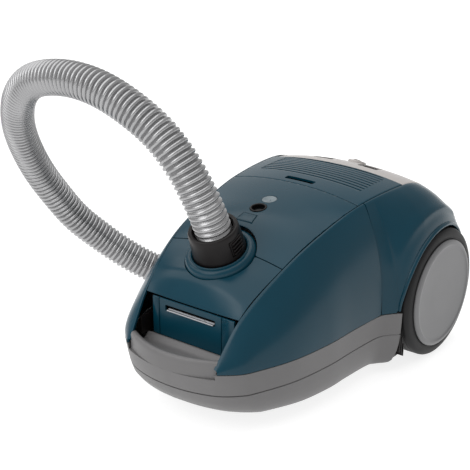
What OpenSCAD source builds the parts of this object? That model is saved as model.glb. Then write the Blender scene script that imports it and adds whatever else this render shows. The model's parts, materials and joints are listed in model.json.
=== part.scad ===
// Canister vacuum cleaner with a corrugated suction hose.
// +Z is up, the front points along -Y, and the origin is on the floor below the middle of the machine.

/* [Shells] */
// Thickness of the plastic shells
wall = 2.5; // [2:0.1:3]
// Gap between neighbouring covers
seam = 0.8; // [0.6:0.1:1.2]
// Width of the side panel's own edge beside the top covers
edge_strip = 3.4; // [3:0.1:4]
// Height of the joint between the side panels and the base pan
joint_z = 76; // [75:0.5:77]

/* [Hose] */
// Outer diameter of the corrugated hose
hose_d = 40; // [36:0.5:40]
// Radius of the round seam where the port ring meets the lid
ring_r = 39; // [38.5:0.1:39.5]
// Forward lean of the hose port
port_tilt = 22; // [21.5:0.1:22.5]
// Height of the tapered hose cuff above the port ring
cuff_h = 31; // [29:0.5:32]

/* [Wheels] */
// Diameter of a rear wheel
wheel_d = 150; // [148:0.5:150]
// Width of the rear tyre
tyre_w = 26; // [24:0.5:26]
// Diameter of the rear wheel's stub axle
axle_d = 12; // [10:0.5:14]
// Diameter of the front caster wheel
caster_d = 34; // [33:0.5:35]

/* [Controls] */
// Diameter of the suction power knob
knob_d = 22; // [20:0.5:24]
// Number of louvre slots across the exhaust grille
louvres = 9; // [7:1:9]

/* [Hidden] */

petrol = [0.03, 0.17, 0.22];
grey = [0.47, 0.47, 0.48];
dark = [0.12, 0.12, 0.12];
silver = [0.72, 0.73, 0.74];
pale = [0.80, 0.77, 0.74];

// Body outline as [y, value] tables
top_z = [[-160, 108], [-156, 122], [-145, 146], [-128, 157], [-106, 166], [-66, 190], [-26, 200], [34, 208],
  [100, 209], [140, 203], [170, 188], [195, 155]];
edge_x = [[-190, 58], [-156, 64], [-100, 75], [-40, 81], [22, 86], [107, 91], [150, 90], [185, 84], [205, 76]];
edge_z = [[-190, 80], [-156, 123], [-100, 161], [-40, 183], [22, 197], [107, 200], [140, 193],
  [170, 176], [195, 147], [205, 125]];
rear_y = 203;
side_x = [[-190, 59], [-175, 76], [-161, 84], [-116, 100], [-63, 108], [-20, 109], [31, 111]];

lid_front_y = -156;
lid_seam_y = -100;
grille_seam_y = 22;
rear_seam_y = 107;
fender_seam_y = 31;
port = [0, -110, 168];
axle = [127, wheel_d / 2];
rim_x = 132;
hub_x = 137.7;
well_r = wheel_d / 2 + 3;
well_x = 104;
arch_r = well_r + 2.5;
arch_x = 126;
base_bottom = 12;
caster = [-106, caster_d / 2];
trail = 8;
running_gap = 0.06;

// Route of the hose from the port tube to the end cuff, in order
hose_route = [[0, -114, 178], [0, -121, 196], [-6, -129, 223], [-24, -136, 259], [-50, -141, 289],
  [-83, -146, 311], [-121, -149, 326], [-161, -149, 331], [-201, -146, 327], [-239, -137, 315],
  [-271, -125, 294], [-298, -108, 267], [-318, -89, 237], [-330, -68, 204], [-335, -46, 170],
  [-331, -24, 136], [-320, -3, 103], [-300, 20, 74], [-274, 41, 49], [-246, 62, 30],
  [-219, 85, 21], [-204, 128, 20], [-195, 170, 20], [-183, 206, 20], [-163, 238, 20],
  [-136, 266, 20], [-107, 292, 20], [-84, 320, 20], [-69, 354, 20], [-63, 390, 20],
  [-66, 426, 20], [-79, 460, 20], [-100, 490, 20], [-128, 513, 20], [-162, 528, 20], [-190, 533, 20]];
grip_end = [hose_route[len(hose_route) - 1], [-1, 0.1, 0]];

// ---- Helpers ----
function total(v, i = 0) = i == len(v) - 1 ? v[i] : v[i] + total(v, i + 1);
function reverse(v) = [for (i = [len(v) - 1:-1:0]) v[i]];
function unit(v) = v / norm(v);

// Smooth value at y from a table of [y, value] pairs
function rise(t, a, b) = (t[b][1] - t[a][1]) / (t[b][0] - t[a][0]);
function tangent(t, i) = rise(t, max(i - 1, 0), min(i + 1, len(t) - 1));
function span(t, y, i = 0) = i == len(t) - 2 || y < t[i + 1][0] ? i : span(t, y, i + 1);
function hermite(a, b, ta, tb, k) = a * (2 * k ^ 3 - 3 * k ^ 2 + 1) + ta * (k ^ 3 - 2 * k ^ 2 + k)
  + b * (3 * k ^ 2 - 2 * k ^ 3) + tb * (k ^ 3 - k ^ 2);
function smooth(t, y) = let (c = max(t[0][0], min(y, t[len(t) - 1][0])), i = span(t, c), h = t[i + 1][0] - t[i][0])
  hermite(t[i][1], t[i + 1][1], tangent(t, i) * h, tangent(t, i + 1) * h, (c - t[i][0]) / h);

// Closed solid through rings with equal numbers of points, capped at both ends.
// A hollow one has rings that run out along a skin and back, and its ends are closed between the two.
function ring_normal(r) = total([for (i = [1:len(r) - 2]) cross(r[i] - r[0], r[i + 1] - r[0])]);
module loft(rings, hollow = false) {
  n = len(rings[0]);
  last = (len(rings) - 1) * n;
  step = total(rings[1]) / n - total(rings[0]) / n;
  outward = ring_normal(rings[0]) * step > 0;
  sides = [for (i = [0:len(rings) - 2], j = [0:n - 1], half = [0, 1])
    let (a = i * n + j, b = i * n + (j + 1) % n)
    half == 0 ? [a, a + n, b + n] : [a, b + n, b]];
  flat_caps = [[for (j = [0:n - 1]) j], [for (j = [n - 1:-1:0]) last + j]];
  skin_caps = [for (j = [0:n / 2 - 2], half = [0, 1], at = [0, last])
    let (a = at + j, b = at + n - 1 - j, corners = half == 0 ? [a, a + 1, b - 1] : [a, b - 1, b])
    at == 0 ? corners : reverse(corners)];
  faces = concat(sides, hollow ? skin_caps : flat_caps);
  polyhedron([for (r = rings, p = r) p], outward ? faces : [for (f = faces) reverse(f)], convexity = 10);
}

// Points of an outline moved inwards by t, for an open row of [a, b] points
function away(row, i) = let (d = row[min(i + 1, len(row) - 1)] - row[max(i - 1, 0)]) unit([d[1], -d[0]]);
function inset(row, t) = [for (i = [0:len(row) - 1]) row[i] + t * away(row, i)];
function skin(row, t) = concat(row, reverse(inset(row, t)));

// ---- Body surface ----
function crown_z(x, y) = let (z = smooth(top_z, y), x1 = smooth(edge_x, y))
  z - (z - smooth(edge_z, y)) * pow(abs(x / x1), 2.2);
function flank_point(s, y) = let (
    a = [smooth(edge_x, y), smooth(edge_z, y)],
    c = [smooth(side_x, y), joint_z],
    b = [c[0] + 2, joint_z + (a[1] - joint_z) * 0.55])
  (1 - s) ^ 2 * a + 2 * s * (1 - s) * b + s ^ 2 * c;

// Strip of the crowned top between two stations
module top_cover(y0, y1, rows) {
  loft([for (i = [0:rows])
    let (y = y0 + (y1 - y0) * i / rows, half = smooth(edge_x, y) - edge_strip)
    [for (p = skin([for (j = [-8:8]) [half * j / 8, crown_z(half * j / 8, y)]], wall)) [p[0], y, p[1]]]]);
}

// Places its children on the hose port, with +Z leaving the machine along the hose
module on_port() {
  translate(port) rotate([port_tilt, 0, 0]) children();
}

module ring(r_out, r_in, h) {
  difference() {
    cylinder(h = h, r = r_out, $fn = 96);
    translate([0, 0, -1]) cylinder(h = h + 2, r = r_in, $fn = 96);
  }
}

// Keeps a faceted shell one closed mesh after its openings are cut
module as_mesh() {
  resize([0, 0, 0]) children();
}

module block(low, high) {
  translate(low) cube(high - low);
}

// Cylinder along X between two X values, on an axis at [y, z]
module rod_x(x0, x1, at, r) {
  translate([x0, at[0], at[1]]) rotate([0, 90, 0]) cylinder(h = x1 - x0, r = r, $fn = 96);
}

// Cylinder along Y between two Y values, on an axis at [x, z]
module rod_y(y0, y1, at, r) {
  translate([at[0], y0, at[1]]) rotate([-90, 0, 0]) cylinder(h = y1 - y0, r = r, $fn = 96);
}

// ---- Base ----
// Half outline of the pan at the joint, front to rear, as [x, y]
pan_outline = [[0, -204], [20, -202.5], [40, -198], [59, -190], [76, -175], [84, -161], [100, -116],
  [108, -63], [109, -20], [111, 25], [116, 39], [122, 47], [101, 48], [101, 120], [101, 165], [99, 192],
  [90, 195.5], [60, 200.8], [0, rear_y]];
// Levels as [z, share of the width, share of the front length, share of the rear length]
pan_levels = [[base_bottom, 0.87, 0.72, 0.90], [17, 0.93, 0.80, 0.94], [30, 0.97, 0.91, 0.98],
  [48, 0.99, 0.97, 1], [joint_z - seam, 1, 1, 1]];
function pan_point(p, l, t) = let (w = l[1] - t / 105, front = l[2] - t / 205, rear = l[3] - t / 205)
  [p[0] * w, p[1] * (p[1] < 0 ? front : rear), l[0]];
function pan_ring(l, t, lift = 0) = [for (p = concat(pan_outline, [for (i = [len(pan_outline) - 2:-1:1])
  [-pan_outline[i][0], pan_outline[i][1]]])) pan_point(p, l, t) + [0, 0, lift]];

module base_pan() {
  floor_lift = 3;
  color(grey) as_mesh() difference() {
    union() {
      loft(concat([for (l = pan_levels) pan_ring(l, 0)],
        [for (i = [len(pan_levels) - 1:-1:0]) pan_ring(pan_levels[i], 3, i == len(pan_levels) - 1 ? 0 : floor_lift)]));
      for (s = [-1, 1]) block([s * 93.7 - 5.7, axle[0] - 12, 58], [s * 93.7 + 5.7, axle[0] + 12, axle[1] + 12]);
    }
    block([-57.5, -220, 69.6], [57.5, -150, 90]);
    translate([0, caster[0], 0]) cylinder(h = 40, r = 36.3, $fn = 96);
    for (s = [-1, 1]) rod_x(s * 95 - 12, s * 95 + 12, axle, axle_d / 2);
    at_screws() {
      translate([0, 0, -1]) cylinder(h = 2.3, r = 4.3, $fn = 48);
      cylinder(h = 6, r = 1.8, $fn = 32);
    }
  }
}

module front_grip() {
  bow_y = -93.5;
  color(grey) intersection() {
    block([-57, -210, 70], [57, -157.6, 88]);
    union() {
      translate([0, bow_y, 0]) rotate_extrude($fn = 192) polygon([[93.5, 70], [109.5, 70], [109.5, 84], [108, 87],
        [105.5, 88], [101.5, 87], [98.5, 83], [93.5, 74]]);
      intersection() {
        translate([0, bow_y, 69]) cylinder(h = 12, r = 100, $fn = 192);
        translate([-57, 0, 0]) rotate([90, 0, 90]) linear_extrude(114) polygon([[-200, 70], [-157, 70], [-157, 79],
          [-160.5, 79], [-166, 73.5], [-200, 73.5]]);
      }
    }
  }
}

module front_fascia() {
  color(petrol) difference() {
    block([-50, -157, 79.6], [50, -154.5, 118.5]);
    block([-32, -158, 108], [32, -153, 115.5]);
  }
}

module fascia_surround() {
  color(dark) {
    block([-58, -151.5, 79.6], [58, -149.5, 118]);
    for (s = [-1, 1]) block([s * 57 - 1, -170, 79.6], [s * 57 + 1, -151.5, 100]);
  }
}

module lid_latch() {
  color(silver) {
    block([-31, -159.5, 108.6], [31, -157.4, 111.5]);
    block([-31, -157.4, 108.6], [31, -155.4, 114.9]);
  }
}

module side_panel() {
  stations = 20;
  steps = 10;
  y0 = -189.5;
  color(petrol) loft([for (i = [0:stations]) let (
      y = y0 + (fender_seam_y - seam - y0) * i / stations,
      row = [for (k = [0:steps]) flank_point(k / steps, y)],
      top = [row[0] - [edge_strip - seam, -0.3]],
      all_points = concat(top, row))
    [for (p = skin(all_points, -wall)) [p[0], y, p[1]]]]);
}
module side_panel_right() { side_panel(); }
module side_panel_left() { mirror([1, 0, 0]) side_panel(); }

// Height of the wheel arch at y, or of the joint in front of it
function arch_z(y) = let (d = y - axle[0]) abs(d) >= arch_r ? joint_z : max(joint_z, axle[1] + sqrt(arch_r ^ 2 - d ^ 2));
lip_x = [[31, 111], [42, 119], [50, 124], [75, arch_x], [205, arch_x]];
module rear_fender() {
  stations = [31, 38, 46, 48, 52, 58, 66, 76, 90, 105, 120, 135, 150, 162, 174, 184, 191, 196];
  steps = 9;
  color(petrol) loft([for (y = stations) let (
      a = [smooth(edge_x, y), smooth(edge_z, y)],
      c = [smooth(lip_x, y), arch_z(y)],
      b = [c[0] - 1, c[1] + (a[1] - c[1]) * 0.55],
      row = [for (k = [0:steps]) let (s = k / steps) (1 - s) ^ 2 * a + 2 * s * (1 - s) * b + s ^ 2 * c],
      top = [row[0] - [edge_strip - seam, -0.3]])
    [for (p = skin(concat(top, row), -wall)) [p[0], y, p[1]]]]);
}
module rear_fender_right() { rear_fender(); }
module rear_fender_left() { mirror([1, 0, 0]) rear_fender(); }

module wheel_well() {
  color(dark) difference() {
    rod_x(well_x - 2.4, arch_x - 3, axle, well_r + 2);
    rod_x(well_x, arch_x, axle, well_r);
    rod_x(well_x - 5, well_x + 5, axle, axle_d / 2 + 4);
    block([90, 0, -20], [140, 250, joint_z]);
  }
}
module wheel_well_right() { wheel_well(); }
module wheel_well_left() { mirror([1, 0, 0]) wheel_well(); }

// ---- Top covers ----
module front_lid() {
  color(petrol) as_mesh() difference() {
    top_cover(lid_front_y, lid_seam_y - seam / 2, 10);
    on_port() translate([0, 0, -30]) cylinder(h = 60, r = ring_r, $fn = 96);
  }
}

module port_ring() {
  color(petrol) on_port() translate([0, 0, -16]) {
    ring(ring_r - seam, 30.5, 15);
    translate([0, 0, 15]) ring(ring_r - 2.5, 30, 4);
    ring(33, 27, 3);
  }
}

module port_tube() {
  color(dark) on_port() translate([0, 0, -22]) {
    ring(26.8, 22, 20);
    translate([0, 0, 19]) ring(26.8, 16.5, 3);
    translate([0, 0, 22]) ring(hose_d / 2, 16.5, 11);
  }
}

module hose_cuff() {
  color(dark) on_port() difference() {
    union() {
      cylinder(h = cuff_h, r1 = 28.2, r2 = 26.2, $fn = 96);
      translate([0, 0, -10]) cylinder(h = 10, r = 28.2, $fn = 96);
    }
    translate([0, 0, -11]) cylinder(h = 12, r = 27.2, $fn = 96);
    cylinder(h = cuff_h + 1, r = hose_d / 2 + 0.6, $fn = 96);
    for (s = [-1, 1]) block([s * 27 - 5, -9.4, 6], [s * 27 + 5, 9.4, 24]);
  }
}

module cuff_button() {
  color(dark) on_port() {
    block([24.6, -9, 6.5], [27.6, 9, 23.5]);
    for (i = [0:4]) block([27.6, -8, 8 + 3 * i], [28.8, 8, 9.4 + 3 * i]);
  }
}
module cuff_button_right() { cuff_button(); }
module cuff_button_left() { mirror([1, 0, 0]) cuff_button(); }

module accessory_lid() {
  color(petrol) as_mesh() difference() {
    top_cover(lid_seam_y + seam / 2, grille_seam_y - seam / 2, 12);
    on_port() translate([0, 0, -30]) cylinder(h = 70, r = ring_r, $fn = 96);
    block([-13, -68, 150], [13, -55, 220]);
    translate([0, -44, 150]) cylinder(h = 70, r = 7.4, $fn = 64);
    translate([0, -24, 180]) cylinder(h = 40, r = 6.5, $fn = 64);
  }
}

module push_button() {
  color(petrol) difference() {
    block([-12.4, -67.5, 184], [12.4, -55.5, 196]);
    translate([0, -67.5, 189.8]) rotate([14, 0, 0]) block([-20, -5, 0], [20, 20, 20]);
  }
}

module window_bezel() {
  color(dark) translate([0, -44, 190]) {
    ring(7.2, 5.2, 6.5);
    ring(9, 5.2, 1.5);
  }
}

module bag_full_flag() {
  color([0.85, 0.3, 0.2]) translate([0, -44, 186]) {
    cylinder(h = 7, r = 4.8, $fn = 48);
    cylinder(h = 1, r = 8, $fn = 48);
  }
}

module grille_cover() {
  pitch = 7;
  first_y = 42;
  color(petrol) difference() {
    top_cover(grille_seam_y + seam / 2, rear_seam_y - seam / 2, 10);
    for (i = [0:louvres - 1], s = [-1, 1])
      block([s * 34 - 30, first_y + pitch * i, 180], [s * 34 + 30, first_y + pitch * i + 3.2, 230]);
    block([-16, grille_seam_y + 6, 204], [16, grille_seam_y + 14, 230]);
  }
}

module exhaust_filter() {
  color([0.9, 0.9, 0.88]) difference() {
    block([-62, grille_seam_y + 14, 176], [62, rear_seam_y - 5, 191]);
    for (i = [0:9]) block([-58, grille_seam_y + 17 + 6.6 * i, 180], [58, grille_seam_y + 20 + 6.6 * i, 195]);
  }
}

module rear_cover() {
  half = 9;
  // Rear profile as [y, z, half width], from the grille to the base pan
  profile = [[rear_seam_y + seam, 208.4, 87.4], [120, 207.2, 87.2], [135, 204, 86.9], [150, 198.6, 86.2],
    [164, 190.5, 84.8], [177, 178.5, 82.2], [187, 164, 79], [194, 148, 76], [198.5, 128, 78], [201, 112, 92],
    [rear_y, 95, 99], [rear_y, joint_z, 99]];
  function section(k) = [for (p = profile) let (f = (p[1] - joint_z) / (208.4 - joint_z))
    [p[0] - (1 - f) * 10 * abs(k) ^ 3, p[1] - 8.8 * f * abs(k) ^ 2.2]];
  color(pale) difference() {
    loft([for (i = [-half:half]) let (k = i / half, outline = section(k), inner = inset(outline, wall))
      concat([for (n = [0:len(profile) - 1]) [k * profile[n][2], outline[n][0], outline[n][1]]],
        reverse([for (n = [0:len(profile) - 1]) [k * profile[n][2], inner[n][0], inner[n][1]]]))], hollow = true);
    for (s = [-1, 1]) pedal_place(s) block([-13, -9, -15], [13, 9, 15]);
    knob_place() translate([0, 0, -20]) cylinder(h = 40, r = knob_d / 2 + 0.5, $fn = 96);
    rod_y(190, 220, [45, 100], 10);
  }
}

module pedal_place(s) {
  translate([s * 30, 131, 202.5]) rotate([-14, s * 5, 0]) children();
}
module pedal() {
  translate([-12.3, -8.3, -8]) cube([24.6, 16.6, 8.6]);
}
module power_pedal() { color(dark) pedal_place(-1) pedal(); }
module rewind_pedal() { color(dark) pedal_place(1) pedal(); }

knob_stem_r = 3;
module knob_place() {
  translate([0, 151, 198]) rotate([-24, 0, 0]) children();
}
module power_knob() {
  color(silver) knob_place() difference() {
    union() {
      translate([0, 0, -6]) cylinder(h = 12, r = knob_d / 2, $fn = 96);
      translate([-2, -knob_d / 2 + 1, 6]) cube([4, knob_d - 2, 3]);
    }
    translate([0, 0, -7]) cylinder(h = 9, r = knob_stem_r + running_gap, $fn = 48);
  }
}

module cable_outlet() {
  color(dark) difference() {
    union() {
      rod_y(188, rear_y - 0.4, [45, 100], 9.7);
      rod_y(rear_y - 0.4, rear_y, [45, 100], 12);
    }
    rod_y(180, 215, [45, 100], 5.5);
  }
}

// ---- Dust compartment ----
module port_hole(r) {
  on_port() translate([0, 0, -60]) cylinder(h = 60, r = r, $fn = 96);
}

module bag_holder() {
  color(grey) on_port() translate([0, 0, -30]) difference() {
    block([-48, -36, 0], [48, 36, 6]);
    translate([0, 0, -1]) cylinder(h = 10, r = 26, $fn = 96);
    block([-42, -33, -1], [42, 40, 2.6]);
  }
}

module bag_collar() {
  color([0.75, 0.62, 0.45]) on_port() translate([0, 0, -30]) difference() {
    block([-41, -32, 0.2], [41, 34, 2.3]);
    translate([0, 0, -1]) cylinder(h = 10, r = 22, $fn = 96);
  }
}

module dust_bag() {
  // Sections as [y, centre z, half width, half height]
  sections = [[-128, 92, 36, 22], [-118, 92, 48, 33], [-97, 91, 58, 33], [-88, 90, 61, 39], [-70, 90, 65, 42],
    [-45, 88, 68, 50], [-20, 88, 66, 49], [-5, 87, 58, 44]];
  color([0.86, 0.80, 0.68]) loft([for (s = sections) [for (a = [0:15:345])
    let (c = cos(a), d = sin(a))
    [s[2] * sign(c) * pow(abs(c), 0.7), s[0], s[1] + s[3] * sign(d) * pow(abs(d), 0.7)]]]);
}

module accessory_tray() {
  low = [-66, -58, 152];
  high = [66, 14, 176];
  color(grey) difference() {
    block(low, high);
    block(low + [2, 2, 2], high - [2, 2, -1]);
  }
}

module crevice_nozzle() {
  color(dark) difference() {
    union() {
      block([-60, -2, 155], [20, 9, 167]);
      translate([20, 3.5, 161]) rotate([0, 90, 0]) cylinder(h = 34, r = 7, $fn = 64);
    }
    block([-61, 0, 157], [18, 7, 165]);
    translate([17, 3.5, 161]) rotate([0, 90, 0]) cylinder(h = 40, r = 4.5, $fn = 64);
  }
}

module upholstery_nozzle() {
  color(dark) difference() {
    union() {
      block([-60, -46, 155], [40, -26, 166]);
      translate([-10, -26.2, 161]) rotate([-90, 0, 0]) cylinder(h = 18, r = 6.6, $fn = 64);
    }
    block([-57, -43, 154], [37, -29, 163]);
    translate([-10, -30, 161]) rotate([-90, 0, 0]) cylinder(h = 30, r = 4.5, $fn = 64);
  }
}

// ---- Motor ----
motor = [-30, 95];

module bulkhead() {
  color(grey) difference() {
    union() {
      block([-97, 8, 18], [97, 11, 150]);
      block([-70, 8, 15], [70, 11, 18]);
    }
    rod_y(0, 20, motor, 36);
  }
}

module motor_filter() {
  color([0.2, 0.2, 0.22]) rod_y(2.6, 7.7, motor, 44);
}

module motor_gasket() {
  color(dark) difference() {
    rod_y(11.3, 17, motor, 48);
    rod_y(5, 25, motor, 38);
  }
}

shaft_bearings = [52, 116];
bearing_w = 7;
module motor_housing() {
  color(grey) {
    difference() {
      rod_y(17.3, 138, motor, 56);
      rod_y(20.3, 135, motor, 52.5);
      rod_y(10, 30, motor, 30);
      rod_y(130, 150, motor, 30);
    }
    for (y = shaft_bearings) difference() {
      block([motor[0] - 53, y, motor[1] - 7], [motor[0] + 53, y + bearing_w, motor[1] + 7]);
      rod_y(y - 1, y + bearing_w + 1, motor, 11);
    }
  }
}

module motor_stator() {
  color(silver) difference() {
    rod_y(62, 108, motor, 52.5);
    rod_y(60, 110, motor, 30.5);
  }
}

module motor_rotor() {
  blades = 12;
  color(silver) {
    rod_y(64, 106, motor, 30);
    rod_y(24, 132, motor, 4);
    rod_y(30, 33, motor, 48);
    for (i = [0:blades - 1]) translate([motor[0], 33, motor[1]])
      rotate([-90, i * 360 / blades, 0]) translate([14, -0.8, -0.1]) cube([32, 1.6, 13]);
  }
}

module motor_bearings() {
  color(silver) for (y = shaft_bearings) difference() {
    rod_y(y, y + bearing_w, motor, 11);
    rod_y(y - 1, y + bearing_w + 1, motor, 4 + running_gap);
  }
}

// ---- Cord reel ----
reel = [118, 102];

module cord_drum() {
  color(dark) difference() {
    union() {
      rod_x(36, 38.5, reel, 58);
      rod_x(38.5, 76, reel, 24);
      rod_x(76, 78.5, reel, 58);
    }
    rod_x(30, 90, reel, 5 + running_gap);
  }
}

module reel_bracket() {
  color(grey) {
    rod_x(34, 87.6, reel, 5);
    rod_x(82, 87.6, reel, 34);
    block([82, reel[0] - 8, 24], [87.6, reel[0] + 8, reel[1]]);
    block([79.4, reel[0] - 8, 15], [84.5, reel[0] + 8, 30]);
    block([82, lever[0] - 5, reel[1]], [87.6, lever[0] + 5, lever[1] + 4]);
    rod_x(24, 87.6, lever, lever_pin_r);
  }
}

// Rocker whose front arm ends below the rewind pedal and whose short arm brakes the drum's rim
lever = [104, 169];
lever_pin_r = 1.5;
module brake_lever() {
  color(grey) difference() {
    union() {
      rod_x(26, 42, lever, 3.5);
      translate([30, lever[0], lever[1]]) rotate([38, 0, 0]) block([-3, 0, -2], [3, 30, 2]);
      translate([37, lever[0], lever[1]]) rotate([-78, 0, 0]) block([-3, 0, -2], [3, 7.5, 2]);
    }
    rod_x(20, 50, lever, lever_pin_r + running_gap);
  }
}

module control_board() {
  color([0.1, 0.35, 0.2]) {
    block([-40, 142, 158], [28, 166, 159.6]);
    block([-36, 146, 159.6], [-22, 162, 168]);
    block([12, 146, 159.6], [24, 158, 165]);
    block([-8, 136, 158], [8, 150, 176]);
    knob_place() translate([0, 0, -24]) cylinder(h = 24, r = knob_stem_r, $fn = 48);
  }
}

module power_switch() {
  color(dark) block([-42, 122, 151.2], [-18, 138, 186]);
}

// ---- Wheels ----
module stub_axles() {
  color(silver) for (s = [-1, 1]) rod_x(s * 111.2 - 22.8, s * 111.2 + 22.8, axle, axle_d / 2);
}

module wheel_hub() {
  color(grey) translate([0, axle[0], axle[1]]) rotate([0, 90, 0]) rotate_extrude($fn = 128) polygon([
    [axle_d / 2 + running_gap, rim_x - 24], [12, rim_x - 24], [12, rim_x - 2], [56, rim_x - 2], [56, rim_x - 22],
    [60, rim_x - 22], [60, rim_x + 1], [62.3, rim_x + 2], [62, rim_x + 4.2], [59, hub_x - 0.7], [54, hub_x],
    [45, hub_x - 1.4], [20, hub_x - 2], [0, hub_x - 2], [0, rim_x + 2.6], [axle_d / 2 + running_gap, rim_x + 2.6]]);
}
module wheel_hub_right() { wheel_hub(); }
module wheel_hub_left() { mirror([1, 0, 0]) wheel_hub(); }

module tyre() {
  r = wheel_d / 2;
  color(dark) translate([0, axle[0], axle[1]]) rotate([0, 90, 0]) rotate_extrude($fn = 128) polygon([
    [60.1, rim_x + 1 - tyre_w], [r - 3, rim_x + 1 - tyre_w], [r - 0.8, rim_x + 2.5 - tyre_w], [r, rim_x + 6 - tyre_w],
    [r, rim_x - 6], [r - 0.8, rim_x - 2.2], [r - 3, rim_x], [64.5, rim_x + 1.6], [62.6, rim_x + 1], [60.1, rim_x + 0.8]]);
}
module tyre_right() { tyre(); }
module tyre_left() { mirror([1, 0, 0]) tyre(); }

module caster_socket() {
  color(dark) translate([0, caster[0], 0]) difference() {
    union() {
      translate([0, 0, 14]) cylinder(h = 33, r = 36, $fn = 96);
      translate([0, 0, 47]) cylinder(h = 8, r = 8, $fn = 64);
    }
    translate([0, 0, 13]) cylinder(h = 31, r = 33.6, $fn = 96);
    translate([0, 0, 40]) cylinder(h = 20, r = 4 + running_gap, $fn = 64);
  }
}

module caster_fork() {
  color(grey) difference() {
    translate([0, caster[0], 0]) {
      translate([0, 0, 38]) cylinder(h = 18, r = 4, $fn = 64);
      block([-12, -10, 37], [12, 17, 41]);
      for (s = [-1, 1]) block([s * 10 - 2, trail - 9, 12], [s * 10 + 2, trail + 9, 38]);
    }
    rod_x(-20, 20, [caster[0] + trail, caster[1]], 2.5);
  }
}

module caster_wheel() {
  color(dark) {
    rod_x(-7.4, 7.4, [caster[0] + trail, caster[1]], caster_d / 2);
    rod_x(-12, 12, [caster[0] + trail, caster[1]], 2.5 - running_gap);
  }
}

module at_screws() {
  for (s = [-1, 1], y = [-60, 40, 160]) translate([s * 70, y, base_bottom]) children();
}

module case_screws() {
  color(silver) at_screws() {
    cylinder(h = 1.2, r = 4, $fn = 48);
    translate([0, 0, 1.2]) cylinder(h = 12, r = 1.6, $fn = 32);
  }
}

// ---- Hose and grip ----
function route_dir(p, i) = unit(p[min(i + 1, len(p) - 1)] - p[max(i - 1, 0)]);
function side_dir(t) = abs(t[2]) > 0.95 ? unit(cross(t, [0, 1, 0])) : unit(cross(t, [0, 0, 1]));
function carried(p, i) = i == 0 ? side_dir(route_dir(p, 0))
  : let (s = carried(p, i - 1), t = route_dir(p, i)) unit(s - (s * t) * t);
module tube(path, r, sides) {
  loft([for (i = [0:len(path) - 1]) let (t = route_dir(path, i), u = carried(path, i), v = cross(t, u))
    [for (a = [0:sides - 1]) path[i] + r * (cos(360 * a / sides) * u + sin(360 * a / sides) * v)]]);
}

module hose() {
  color(silver) tube(hose_route, hose_d / 2 - 0.2, 12);
}

// Places its children at the hose's far end, with +Z along the hose and +X up
module at_grip() {
  d = unit(grip_end[1]);
  translate(grip_end[0]) rotate([0, 0, atan2(d[1], d[0])]) rotate([0, 90, 0]) rotate([0, 0, 180]) children();
}

module hose_end_cuff() {
  color(dark) at_grip() difference() {
    cylinder(h = 42, r1 = 19.6, r2 = 19, $fn = 96);
    translate([0, 0, -1]) cylinder(h = 50, r = 16, $fn = 96);
  }
}

grip_bend = 40;
elbow_r = 60;
grip_r = 17.5;
grip_bore = 14.75;

// Places its children where the grip's bend ends, with +Z along the bent part
module past_bend() {
  translate([0, -elbow_r, 92]) rotate([grip_bend, 0, 0]) translate([0, elbow_r, 0]) children();
}

// Raised rib round the grip at the start or the end of its bend
module grip_rib(at_end) {
  rib_w = 4;
  if (at_end) past_bend() translate([0, 0, -rib_w / 2]) ring(grip_r + 0.8, grip_r - 1, rib_w);
  else translate([0, 0, 92 - rib_w / 2]) ring(grip_r + 0.8, grip_r - 1, rib_w);
}

module grip_handle() {
  color(dark) at_grip() {
    difference() {
      translate([0, 0, 42.2]) ring(grip_r, grip_bore, 49.8);
      block([grip_bore - 2, -6, 54], [22, 6, 82]);
    }
    translate([0, -elbow_r, 92]) rotate([0, -90, 0]) rotate([0, 0, 90 - grip_bend])
      rotate_extrude(angle = grip_bend, $fn = 128) translate([elbow_r, 0]) difference() {
        circle(r = grip_r, $fn = 96);
        circle(r = grip_bore, $fn = 96);
      }
    past_bend() ring(grip_r, grip_bore, 80);
    for (at_end = [false, true]) grip_rib(at_end);
  }
}

module air_slider() {
  color(grey) at_grip() difference() {
    translate([0, 0, 48]) ring(grip_r + 1.6, grip_r + 0.3, 24);
    block([-30, -30, 40], [10, 30, 80]);
  }
}

base_pan();
front_grip();
front_fascia();
fascia_surround();
lid_latch();
side_panel_left();
side_panel_right();
rear_fender_left();
rear_fender_right();
wheel_well_left();
wheel_well_right();
front_lid();
port_ring();
port_tube();
hose_cuff();
cuff_button_left();
cuff_button_right();
hose();
hose_end_cuff();
grip_handle();
air_slider();
accessory_lid();
push_button();
window_bezel();
bag_full_flag();
accessory_tray();
crevice_nozzle();
upholstery_nozzle();
grille_cover();
exhaust_filter();
rear_cover();
power_pedal();
rewind_pedal();
power_knob();
cable_outlet();
bag_holder();
dust_bag();
bag_collar();
bulkhead();
motor_filter();
motor_gasket();
motor_housing();
motor_stator();
motor_rotor();
motor_bearings();
cord_drum();
reel_bracket();
brake_lever();
control_board();
power_switch();
stub_axles();
wheel_hub_left();
wheel_hub_right();
tyre_left();
tyre_right();
caster_socket();
caster_fork();
caster_wheel();
case_screws();
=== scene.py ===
"""Looks of a compact canister vacuum cleaner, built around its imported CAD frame. Lengths are in millimetres
until a mesh is made, and the front of the machine points along -Y."""
import json
import math

import bmesh
import bpy
from mathutils import Euler, Matrix, Vector


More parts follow.
